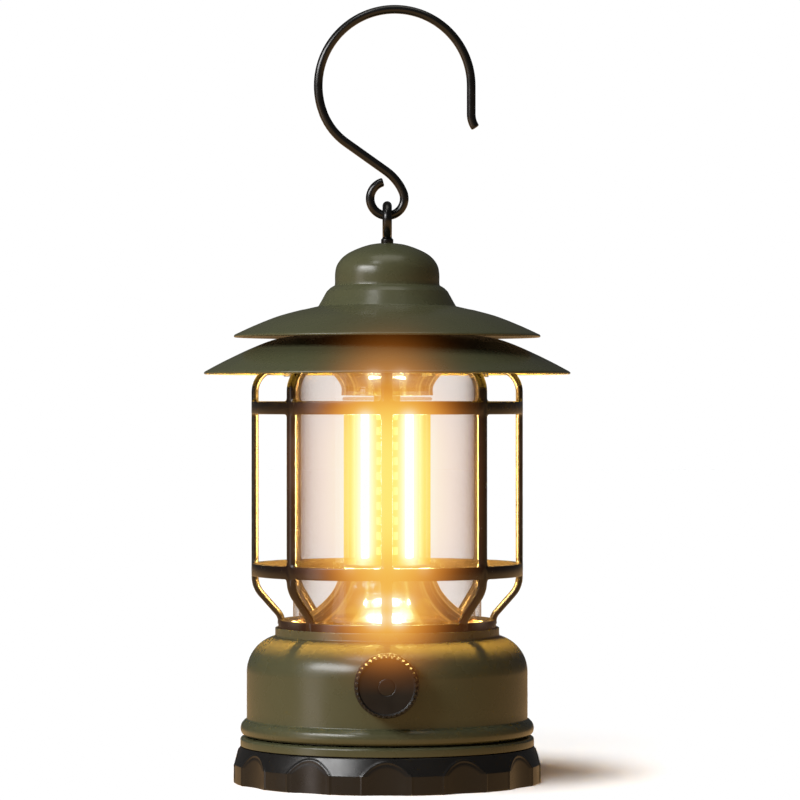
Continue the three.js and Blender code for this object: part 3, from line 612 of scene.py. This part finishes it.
def make_foot():
    """The rubber foot. Upright cylinders bite a row of finger scoops out of its wall, and each scoop
    has a thin raised lip."""
    depth = math.sqrt(FOOT["radius"] ** 2 - SCOOP["half_width"] ** 2) - SCOOP["deepest"]
    bend = (SCOOP["half_width"] ** 2 + depth ** 2) / (2 * depth)
    middle = SCOOP["deepest"] + bend
    pitch = 2 * math.pi / SCOOP_COUNT

    def scooped(r, z, angle):
        off = (angle + pitch / 2) % pitch - pitch / 2
        reach = bend ** 2 - (middle * math.sin(off)) ** 2
        if reach <= 0 or r < FOOT["inner"] + SCOOP["clear"]:
            return r
        bitten = middle * math.cos(off) - math.sqrt(reach)
        soft = SCOOP["soften"]
        blend = max(0.0, 1 - abs(r - bitten) / soft)
        beyond = (bitten - r) / SCOOP_LIP["half_width"] - SCOOP_LIP["offset"]
        lip = SCOOP_LIP["height"] * max(0.0, 1 - beyond ** 2) ** 2
        return min(r, bitten) - blend * blend * soft / 4 + lip

    wall = rounded([
        (FOOT_LEDGE["edge"], 0, 0), (FOOT["radius"], 0, 0.7), (FOOT["radius"], FOOT["wall_top"], 0.35),
        (FOOT["top_radius"], FOOT["top"], 0.5), (FOOT["inner"], FOOT["top"], 0)])
    steps = []
    for start, end in zip(wall, wall[1:]):
        steps += divided(start, end, max(1, math.ceil(math.dist(start, end) / SCOOP["facet"])))
    outline = [*steps, (FOOT["inner"], FOOT["top"]), (FOOT["inner"], FOOT_LEDGE["top"]),
               (FOOT_LEDGE["radius"], FOOT_LEDGE["top"]), (FOOT_LEDGE["radius"], 0)]
    foot = turned(outline, FOOT_SEGMENTS, scooped)
    piece("base_foot_rubber", foot, RUBBER, replaces=["base_foot"], sharp=45)


# ---------------- cage
def flare(z):
    """How far a bar widens where it runs into a flat ring, for the moulded corner fillets."""
    fillet = CAGE["fillet"]
    wider = 0.0
    for low, high in (LOWER_RING, UPPER_RING):
        gap = max(low - z, z - high)
        if gap < 0:
            return fillet * 0.98
        if gap < fillet:
            wider = max(wider, fillet - math.sqrt(fillet ** 2 - (fillet - gap) ** 2))
    return wider


def bar_path():
    """The line of a bar as (radius, z): out of the foot ring, upright, and in over the head ring.
    It has more points near the edges of the flat rings, where the bar widens."""
    axis = CAGE["radius"] - CAGE["bar_depth"] / 2
    low, low_radius, lean = BAR_BEND["low"], BAR_BEND["low_radius"], BAR_BEND["lean"]
    high, high_radius = BAR_BEND["high"], BAR_BEND["high_radius"]
    foot_x = CAGE_FOOT["radius"] - 0.95
    start = flowing([(foot_x, CAGE_FOOT["top"] - 1.5), (foot_x + 0.02, CAGE_FOOT["top"] + 0.4),
                     (foot_x + 0.75, CAGE_FOOT["top"] + 2.0)], 4)
    below = arc(axis - low_radius, low, low_radius, -lean, 0, 10)
    levels = []
    for bottom, top in (LOWER_RING, UPPER_RING):
        levels += [bottom - 1.2 + 0.15 * k for k in range(9)]
        levels += [top + 0.15 * k for k in range(9)]
    upright = [(axis, z) for z in sorted({round(z, 3) for z in levels if low < z < high})]
    above = arc(axis - high_radius, high, high_radius, 0, 90, 12)
    return [*start, *below, *upright, *above, (CAGE_HEAD["inner"] + 2, high + high_radius)]


def make_cage():
    path = bar_path()
    bars = []
    for k in range(BAR_COUNT):
        a = 2 * math.pi * k / BAR_COUNT
        out = Vector((math.cos(a), math.sin(a), 0))
        side = Vector((-math.sin(a), math.cos(a), 0))

        def section(i):
            half = CAGE["bar_width"] / 2 + flare(path[i][1])
            return oval(half, CAGE["bar_depth"] / 2)

        bars.append(swept([out * x + UP * z for x, z in path], side, section))
    r, t = CAGE["radius"], CAGE["ring_thick"]
    rings = [
        turned(rounded([(r - t, low, 0.4), (r, low, 0.4), (r, high, 0.4), (r - t, high, 0.4)], 30))
        for low, high in (LOWER_RING, UPPER_RING)
    ]
    f = CAGE_FOOT
    foot = turned(rounded([
        (f["flange_inner"], f["bottom"], 0), (f["radius"], f["bottom"], 0), (f["radius"], f["top"], 0.4),
        (f["inner"], f["top"], 0.4), (f["inner"], f["bottom"] + f["flange"], 0),
        (f["flange_inner"], f["bottom"] + f["flange"], 0)], 30))
    h = CAGE_HEAD
    head = turned(rounded([(h["inner"], h["bottom"], 0.3), (h["radius"], h["bottom"], 0.3),
                           (h["radius"], h["top"], 0.3), (h["inner"], h["top"], 0.3)], 45))
    cage = joined_solid(merged(*bars), merged(*rings, foot, head))
    piece("cage_casting", cage, BLACK, replaces=["cage"], sharp=40)


# ---------------- hanging eye and hook
def make_eye():
    """The eye bolt: a ring of wire facing along X, on a stem with a collar."""
    turns = 64
    ring = bmesh.new()
    rows = []
    for i in range(turns):
        y = EYE["radius"] * math.cos(2 * math.pi * i / turns)
        z = EYE["z"] + EYE["radius"] * math.sin(2 * math.pi * i / turns)
        out = Vector((0, y, z - EYE["z"])).normalized()
        centre = Vector((0, y, z))
        rows.append([ring.verts.new((centre + Vector((u, 0, 0)) + out * v) * MM)
                     for u, v in oval(EYE["wire"], EYE["wire"])])
    for row, other in zip(rows, rows[1:] + rows[:1]):
        bridge(ring, row, other)
    bmesh.ops.recalc_face_normals(ring, faces=ring.faces)
    top = EYE["z"] - EYE["radius"]
    s = EYE_STEM
    stem = turned(rounded([
        (0, s["bottom"], 0), (s["shank"], s["bottom"], 0.3), (s["shank"], 182.6, 0),
        (s["collar"], 182.85, 0.1), (s["collar"], s["collar_top"], 0.3), (EYE["wire"], 184.5, 0.2),
        (EYE["wire"], top, 0), (0, top, 0)]), 48)
    piece("eye_bolt_coated", joined_solid(ring, stem), BLACK, body="eye", replaces=["eye_bolt"])


def hook_path():
    """Small eye, sweep into the straight arm, large bend, drop and turned-out tip, as (x, z)."""
    right = HOOK["x"] + HOOK["radius"]
    drop, tip, turn = 9.6, 8.2, 35
    return [
        *arc(0, LOOP["z"], LOOP["radius"], 103, 385, 56),
        *arc(-10.6, 193.0, 17.5, 30, 54.5, 6),
        *arc(-1.21, 234.8, 22, 234.5, 202, 8),
        *arc(HOOK["x"], HOOK["z"], HOOK["radius"], 196, 0, 72),
        *[(right, HOOK["z"] - drop * k / 4) for k in range(1, 4)],
        *arc(right + tip, HOOK["z"] - drop, tip, 180, 180 + turn, 10),
    ]


def make_hook():
    path = fine_ends([(x, 0, z) for x, z in hook_path()], WIRE["bevel"])
    sizes = wire_ends(path, WIRE["radius"], WIRE["bevel"])
    wire = swept(path, (0, 1, 0), lambda i: oval(sizes[i], sizes[i]))
    piece("hook_wire", wire, BLACK, body="hook", replaces=["hook"], sharp=50)


# ---------------- glass, reflectors and light column
def make_glass():
    r, t = GLASS["radius"], GLASS["wall"]
    outline = rounded([(r - t, GLASS["bottom"], 0.6), (r, GLASS["bottom"], 0.6),
                       (r, GLASS["top"], 0.6), (r - t, GLASS["top"], 0.6)])
    piece("glass_chimney_clear", turned(outline), CLEAR_GLASS, replaces=["glass_chimney"])


def fluted(depth, start, end):
    """Moulded flutes, deepest midway between two radii."""
    def radius_at(r, z, angle):
        if not start < r < end:
            return r
        share = math.sin(math.pi * (r - start) / (end - start)) ** 0.5
        return r - depth * share * abs(math.sin(FLUTE_COUNT * angle / 2))
    return radius_at


def reflector(name, outline, shape):
    """A clear moulding with a painted amber glow on its flute ridges and edges."""
    moulding = turned(outline, REFLECTOR_SEGMENTS, shape)
    made = piece(f"{name}_fluted", moulding, ACRYLIC_LIT, replaces=[name], sharp=60)
    # 1 on the flute ridges: where the painted glow goes.
    ridge_glow_mask = made.data.attributes.new("ridge_glow_mask", "FLOAT", "POINT")
    ridge_glow_mask.data.foreach_set("value", [
        abs(math.cos(FLUTE_COUNT / 2 * math.atan2(v.co.y, v.co.x))) ** 30 for v in made.data.vertices])


def make_reflectors():
    """The trumpet under the light column and the shallow flare above it."""
    lower = flowing([(15.7, 71.5), (15.9, 70.0), (16.7, 68.2), (18.6, 64.4), (21.8, 60.7), (25.5, 57.7),
                     (29.4, 55.4)], 6)
    inner = flowing([(28.3, 54.7), (24.8, 56.4), (20.9, 59.5), (17.6, 63.4), (15.6, 67.6), (14.6, 70.3)], 6)
    outline = [(4.9, 71.6), *lower, (29.4, 53.4), (28.3, 53.4), *inner, (4.9, 70.3)]
    reflector("lower_reflector", outline, fluted(0.7, 15.8, 29.3))
    upper = flowing([(15.6, 131.0), (15.7, 134.2), (18.4, 138.0), (22.6, 141.0), (29.4, 143.5)], 6)
    inner = flowing([(29.4, 144.7), (22.0, 142.4), (17.4, 139.2), (14.4, 134.8), (14.2, 132.5)], 6)
    outline = [(4.9, 130.8), *upper, *inner, (4.9, 132.2)]
    reflector("upper_reflector", outline, fluted(0.5, 15.7, 29.3))


def rounded_square(side, fillet):
    h = side / 2
    return rounded([(-h, -h, fillet), (h, -h, fillet), (h, h, fillet), (-h, h, fillet)], 30)


def face_turn(degrees):
    """Turns a strip made on the -Y face of the core to its own face."""
    return Matrix.Rotation(math.radians(degrees + 45), 4, "Z")


def nearness(point):
    """1 on the cover beside a lit line, falling to 0 at a corner. It places the cover's painted glow."""
    best = 0.0
    for _, degrees, side in STRIP_PLACES:
        local = face_turn(degrees).inverted() @ point
        if -local.y > 0.4 * COLUMN["cover"]:
            off = abs(local.x - side * LED_LINE["offset"])
            best = max(best, 1 - off / LED_LINE["reach"])
    return best


def make_column():
    """The square cover, in a grid fine enough to carry its painted glow, and its two end plates.
    Both are made facing front and then turned one corner to the front."""
    corner_on = Matrix.Rotation(math.pi / 4, 4, "Z")
    outer, wall = COLUMN["cover"], COLUMN["cover_wall"]
    across, up, corner = COVER_GRID["across"], COVER_GRID["up"], COVER_GRID["corner"]
    levels = [COLUMN["bottom"] + (COLUMN["top"] - COLUMN["bottom"]) * k / up for k in range(up + 1)]
    ring = []
    half = outer / 2
    for k in range(4):
        flat = [(-half + corner + (outer - 2 * corner) * i / across, -half) for i in range(across + 1)]
        spin = Matrix.Rotation(math.pi / 2 * k, 2)
        ring += [tuple(spin @ Vector(p)) for p in flat]
    inset = (outer - 2 * wall) / outer
    cover = bmesh.new()
    shells = []
    for scale in (1, inset):
        rows = [[cover.verts.new((x * scale * MM, y * scale * MM, z * MM)) for x, y in ring] for z in levels]
        for row, other in zip(rows, rows[1:]):
            bridge(cover, row, other)
        shells.append(rows)
    for level in (0, -1):
        bridge(cover, shells[0][level], shells[1][level])
    bmesh.ops.recalc_face_normals(cover, faces=cover.faces)
    made = piece("led_cover_clear", spun(cover, corner_on), LIT_COVER,
                 replaces=["led_cover"], sharp=50)
    # Carried at the cover's points: how near each is to a lit line, for its painted glow.
    near_line = made.data.attributes.new("near_line", "FLOAT", "POINT")
    near_line.data.foreach_set("value", [nearness(vertex.co / MM) for vertex in made.data.vertices])

    for name, low, high in END_PLATES:
        plate = prism(rounded_square(END_PLATE["side"], END_PLATE["fillet"]), low, high)
        rims = [edge for edge in plate.edges if edge.calc_face_angle() > 1]
        bmesh.ops.bevel(plate, geom=rims, offset=END_PLATE["bevel"] * MM, segments=2, affect="EDGES")
        piece(f"led_end_plate_{name}_clear", spun(plate, corner_on), ACRYLIC,
              replaces=[f"led_end_plate_{name}"], sharp=50)


def make_strips():
    """On each face of the core a board with a faint painted glow, a lit line and a row of chips."""
    middle = (COLUMN["bottom"] + COLUMN["top"]) / 2
    back = -COLUMN["core"] / 2 - STRIP["stand"]
    face = back - STRIP["thick"]
    for place, degrees, side in STRIP_PLACES:
        turn = face_turn(degrees)
        base = box_mesh(STRIP["width"], STRIP["thick"], STRIP["length"],
                        (0, back - STRIP["thick"] / 2, middle), 0.15)
        # The board's glow is painted light, not a lamp.
        piece(f"led_strip_{place}_board", spun(base, turn), LED_BASE,
              replaces=[f"led_strip_{place}"])
        line = box_mesh(LED_LINE["width"], LED_LINE["height"], LED_LINE["length"],
                        (side * LED_LINE["offset"], face - LED_LINE["height"] / 2, middle), 0.25)
        piece(f"led_strip_{place}_line", spun(line, turn), LED_HOT)
        chips = []
        for k in range(CHIP_COUNT):
            z = middle + (k - (CHIP_COUNT - 1) / 2) * CHIP["pitch"]
            chips.append(box_mesh(CHIP["width"], CHIP["height"], CHIP["length"],
                                  (side * CHIP["offset"], face - CHIP["height"] / 2, z), 0.2))
        piece(f"led_strip_{place}_chips", spun(merged(*chips), turn), LED_CHIP)


# ---------------- knob
def make_knob():
    """The dimmer knob, made about Z with its front up, then laid to face forward."""
    deep, front = KNOB["back"], KNOB["front"]
    grip_low, grip_high = deep + 1.7, front - 0.5

    def knurled(r, z, angle):
        if not (grip_low < z < front + 0.01) or r < KNOB["radius"] - 0.8:
            return r
        return r - KNOB_GRIP["groove"] * abs(math.cos(GRIP_COUNT * angle / 2)) ** 2

    outline = rounded([
        (7.2, deep, 0), (KNOB["skirt"], deep, 0.25), (KNOB["skirt"], deep + 1.2, 0.35),
        (KNOB["skirt"] - 0.2, deep + 1.6, 0.1), (KNOB["radius"], grip_low, 0), (KNOB["radius"], grip_high, 0),
        (KNOB["radius"] - 0.35, front, 0.35), (9.3, front, 0.25), (9.0, front - 0.55, 0.3),
        (3.05, front - 0.55, 0.1), (2.9, front - 0.68, 0.05), (2.65, front - 0.68, 0.05),
        (2.5, front - 0.55, 0.1), (0, front - 0.55, 0), (0, front - 1.8, 0), (3.3, front - 1.8, 0),
        (3.3, deep + 3.4, 0), (7.2, deep + 3.4, 0),
    ], 15)
    steps = []
    for start, end in zip(outline, outline[1:] + outline[:1]):
        gripped = min(start[0], end[0]) > KNOB_GRIP["inner"]
        count = max(1, math.ceil(abs(end[1] - start[1]) / KNOB_GRIP["facet"])) if gripped else 1
        steps += divided(start, end, count)
    knob = facing_front(turned(steps, GRIP_COUNT * 12, knurled), KNOB["z"])
    piece("dimmer_knob_moulded", knob, PLASTIC, body="knob", replaces=["dimmer_knob"],
          sharp=40)


make_upper_roof()
make_lower_roof()
make_body()
make_tray()
make_foot()
make_cage()
make_eye()
make_hook()
make_glass()
make_reflectors()
make_column()
make_strips()
make_knob()


# ---------------- studio
# Lamps are sized in metres. Their power is in watts, and a sun's in watts per square metre.
WHITE = (1, 1, 1)
BACKDROP_POWER = 1.02
ROOM_POWER = 0.06
FLOOR_GLOW = (1.0, 0.60, 0.27)
FLOOR_GLOW_POWER = 0.8
SOFTBOX_DISTANCE = 1.0
SOFTBOXES = (  # name, azimuth, height angle, size, power, colour
    ("key", 49, 27, (0.62, 0.28), 7.4, WHITE),
    ("top", 0, 84, (0.7, 0.5), 1.8, (1.0, 0.97, 0.86)),
    ("top_left", 35, 58, (0.22, 0.16), 0.8, WHITE),
    ("fill_left", 62, 4, (0.3, 0.9), 1.35, (1.0, 0.9, 0.88)),
)
FLOOR_SUNS = (  # name, direction it shines from, spread in degrees, power
    ("floor_near", (-21, -22, 139), 14, 1.74),
    ("floor_middle", (-26, -52, 139), 14, 1.68),
    ("floor_far", (-45, -150, 139), 20, 0.72),
)
FACE_ANGLES = (45, 135, 225, 315)
STRIP_LAMP = {"size": (0.010, 0.052), "power": 2.05, "colour": (1.0, 0.53, 0.115)}
GLINT_ANGLES = (-115, -65, 65, 115)
GLINT = {"size": (0.005, 0.052), "power": 4.2, "colour": (1.0, 0.70, 0.30)}
SPARK_ANGLES = (-121, -59, 59, 121)
SPARK = {"power": 0.05, "colour": (1.0, 0.66, 0.24), "size": 0.0025}
SPARK_RADIUS = 28.5  # millimetres, just inside the glass
SHINE = {"size": (0.018, 0.052), "power": 0.6, "colour": (1.0, 0.62, 0.18)}
SPILL = {"power": 0.035, "colour": (1.0, 0.42, 0.08)}
BLOOM_FROM = 3.5
BLOOM_CAP = 6.0
WIDE_GLOW = {"width": 0.089, "strength": (4.6, 1.28, 0.15)}  # width as a share of the picture's
CLOSE_GLOW = {"width": 0.017, "strength": (0.4, 0.3, 0.23)}


def make_floor():
    """A pale floor that catches the shadow. The object neither mirrors it nor is lit by it."""
    bm = bmesh.new()
    bmesh.ops.create_grid(bm, x_segments=1, y_segments=1, size=6)
    mesh = new_mesh("studio_floor", bm)
    floor = new_object("studio_floor", mesh)
    n = Nodes("pale_floor")
    colour = n.tint(n.noise(60, 2), (0.872, 0.878, 0.884), (0.884, 0.890, 0.896))
    mesh.materials.append(n.principled(Base_Color=colour, Roughness=0.8))
    floor.visible_glossy = False
    floor.visible_diffuse = False
    return floor


def lamp_data(name, kind, power, colour):
    data = bpy.data.lights.new(name, kind)
    data.energy = power
    data.color = colour
    return data


def area_light(name, where, target, size, power, colour):
    data = lamp_data(name, "AREA", power, colour)
    data.shape = "RECTANGLE"
    data.size, data.size_y = size
    light = new_object(name, data)
    light.location = where
    light.rotation_euler = (target - where).to_track_quat("-Z", "Y").to_euler()
    return light


def make_world():
    """White to the camera. To the object it is a dim room above and the warm, lamp-lit floor below."""
    world = bpy.data.worlds.new("studio")
    world.use_nodes = True
    tree = world.node_tree
    tree.nodes.clear()

    def background(colour, strength):
        made = tree.nodes.new("ShaderNodeBackground")
        made.inputs["Color"].default_value = (*colour, 1)
        made.inputs["Strength"].default_value = strength
        return made.outputs[0]

    def mixed(share, first, second):
        made = tree.nodes.new("ShaderNodeMixShader")
        tree.links.new(share, made.inputs[0])
        tree.links.new(first, made.inputs[1])
        tree.links.new(second, made.inputs[2])
        return made.outputs[0]

    direction = tree.nodes.new("ShaderNodeTexCoord").outputs["Generated"]
    split = tree.nodes.new("ShaderNodeSeparateXYZ")
    tree.links.new(direction, split.inputs[0])
    level = tree.nodes.new("ShaderNodeMapRange")
    level.inputs["From Min"].default_value = -0.12
    level.inputs["From Max"].default_value = 0.0
    tree.links.new(split.outputs["Z"], level.inputs["Value"])
    floor_below = background(FLOOR_GLOW, FLOOR_GLOW_POWER)
    room = mixed(level.outputs[0], floor_below, background(WHITE, ROOM_POWER))
    to_camera = tree.nodes.new("ShaderNodeLightPath").outputs["Is Camera Ray"]
    output = tree.nodes.new("ShaderNodeOutputWorld")
    tree.links.new(mixed(to_camera, room, background(WHITE, BACKDROP_POWER)), output.inputs["Surface"])
    bpy.context.scene.world = world


def sun(name, direction, spread, power):
    """A sun that shines from a direction."""
    data = lamp_data(name, "SUN", power, WHITE)
    data.angle = math.radians(spread)
    light = new_object(name, data)
    light.rotation_euler = Vector(direction).to_track_quat("Z", "Y").to_euler()
    return light


def softbox(name, azimuth, height, size, power, colour):
    """A softbox at an azimuth left of the camera side and a height angle, both in degrees."""
    a, h = math.radians(azimuth), math.radians(height)
    middle = Vector((0, 0, 0.12))
    out = Vector((-math.sin(a) * math.cos(h), -math.cos(a) * math.cos(h), math.sin(h)))
    return area_light(name, middle + out * SOFTBOX_DISTANCE, middle, size, power, colour)


def point_light(name, where, power, colour, size=0.0, shadow=True):
    data = lamp_data(name, "POINT", power, colour)
    data.shadow_soft_size = size
    data.use_shadow = shadow
    light = new_object(name, data)
    light.location = where
    return light


def spill_light():
    """The lantern's own amber light on the floor close to its foot."""
    return point_light("floor_spill", (0, 0, 0.06), shadow=False, **SPILL)


def outwards(degrees):
    angle = math.radians(degrees)
    return Vector((math.cos(angle), math.sin(angle), 0))


def column_lamp(name, degrees, settings):
    """An upright lamp just off the light column's cover, shining outwards at an angle from +X."""
    out = outwards(degrees)
    reach = COLUMN["cover"] / 2 + 0.6
    where = (out * reach + UP * (COLUMN["bottom"] + COLUMN["top"]) / 2) * MM
    return area_light(name, where, where + out, **settings)


def light_only(lamps, receivers):
    """Lets lamps light nothing but a collection of objects."""
    for lamp in lamps:
        lamp.light_linking.receiver_collection = receivers


def receivers_of(name, objects):
    collection = bpy.data.collections.new(name)
    for thing in objects:
        collection.objects.link(thing)
    return collection


def make_lights(floor):
    """Softboxes for the object, suns for the floor, and small lamps at the column for what the lit
    strips do to the body, the reflectors and the black parts."""
    softboxes = [softbox(*settings) for settings in SOFTBOXES]
    all_but_floor = receivers_of("all_but_floor", [floor])
    all_but_floor.collection_objects[0].light_linking.link_state = "EXCLUDE"
    light_only(softboxes, all_but_floor)

    pieces = bpy.data.objects
    reflectors = receivers_of(
        "reflectors", [pieces["lower_reflector_fluted"], pieces["upper_reflector_fluted"]])
    black_parts = receivers_of("black_parts", [pieces["cage_casting"], pieces["dimmer_knob_moulded"]])
    middle = UP * (COLUMN["bottom"] + COLUMN["top"]) / 2
    for k, degrees in enumerate(FACE_ANGLES):
        strip = column_lamp(f"strip_{k}", degrees, STRIP_LAMP)
        strip.visible_glossy = False
        glint = column_lamp(f"glint_{k}", GLINT_ANGLES[k], GLINT)
        inside_glass = outwards(SPARK_ANGLES[k]) * SPARK_RADIUS + middle
        spark = point_light(f"spark_{k}", inside_glass * MM, **SPARK)
        shine = column_lamp(f"shine_{k}", degrees, SHINE)
        light_only([strip], all_but_floor)
        light_only([glint, spark], reflectors)
        light_only([shine], black_parts)

    floor_only = receivers_of("floor_only", [floor])
    floor_suns = [sun(*settings) for settings in FLOOR_SUNS]
    light_only([*floor_suns, spill_light()], floor_only)


def make_camera():
    """Level camera on the front, as in the product view: height, distance and lens fit the object's frame."""
    data = bpy.data.cameras.new("camera")
    data.lens = 177.8
    data.sensor_width = 36
    data.clip_end = 50
    camera = new_object("camera", data)
    camera.location = (0.00435, -1.343, 0.1294)
    camera.rotation_euler = (math.pi / 2, 0, 0)
    bpy.context.scene.camera = camera


def make_bloom():
    """The soft glow that a lens adds round a light this bright: blurred copies of what is far
    above white, laid over the picture."""
    scene = bpy.context.scene
    scene.use_nodes = True
    tree = scene.node_tree
    tree.nodes.clear()
    image = tree.nodes.new("CompositorNodeRLayers").outputs["Image"]
    split = tree.nodes.new("CompositorNodeSeparateColor")
    tree.links.new(image, split.inputs[0])

    def math_node(operation, *values):
        made = tree.nodes.new("CompositorNodeMath")
        made.operation = operation
        for socket, value in zip(made.inputs, values):
            if isinstance(value, float):
                socket.default_value = value
            else:
                tree.links.new(value, socket)
        return made.outputs[0]

    def mixed(blend, first, second):
        made = tree.nodes.new("CompositorNodeMixRGB")
        made.blend_type = blend
        tree.links.new(first, made.inputs[1])
        if isinstance(second, tuple):
            made.inputs[2].default_value = second
        else:
            tree.links.new(second, made.inputs[2])
        return made.outputs[0]

    over = math_node("SUBTRACT", split.outputs["Red"], BLOOM_FROM)
    over = math_node("MINIMUM", math_node("MAXIMUM", over, 0.0), BLOOM_CAP)

    def glow(width, strength):
        """Blurred light that fills up towards white as it gets stronger, as on film."""
        size = tree.nodes.new("CompositorNodeRelativeToPixel")
        size.data_type = "VECTOR"
        size.reference_dimension = "X"
        size.inputs[0].default_value = (width, width)
        tree.links.new(image, size.inputs["Image"])
        blur = tree.nodes.new("CompositorNodeBlur")
        blur.filter_type = "GAUSS"
        tree.links.new(over, blur.inputs["Image"])
        tree.links.new(next(o for o in size.outputs if o.enabled), blur.inputs["Size"])
        joined = tree.nodes.new("CompositorNodeCombineColor")
        for channel, share in enumerate(strength):
            left = math_node("EXPONENT", math_node("MULTIPLY", blur.outputs[0], -share))
            tree.links.new(math_node("SUBTRACT", 1.0, left), joined.inputs[channel])
        return joined.outputs[0]

    total = mixed("DARKEN", image, (1.0, 1.0, 1.0, 1.0))
    for lens_glow in (WIDE_GLOW, CLOSE_GLOW):
        total = mixed("SCREEN", total, glow(**lens_glow))
    composite = tree.nodes.new("CompositorNodeComposite")
    tree.links.new(total, composite.inputs["Image"])


stage_floor = make_floor()
make_world()
make_lights(stage_floor)
make_camera()
make_bloom()
bpy.context.scene.view_settings.view_transform = "Standard"
bpy.context.scene.cycles.transparent_max_bounces = 32
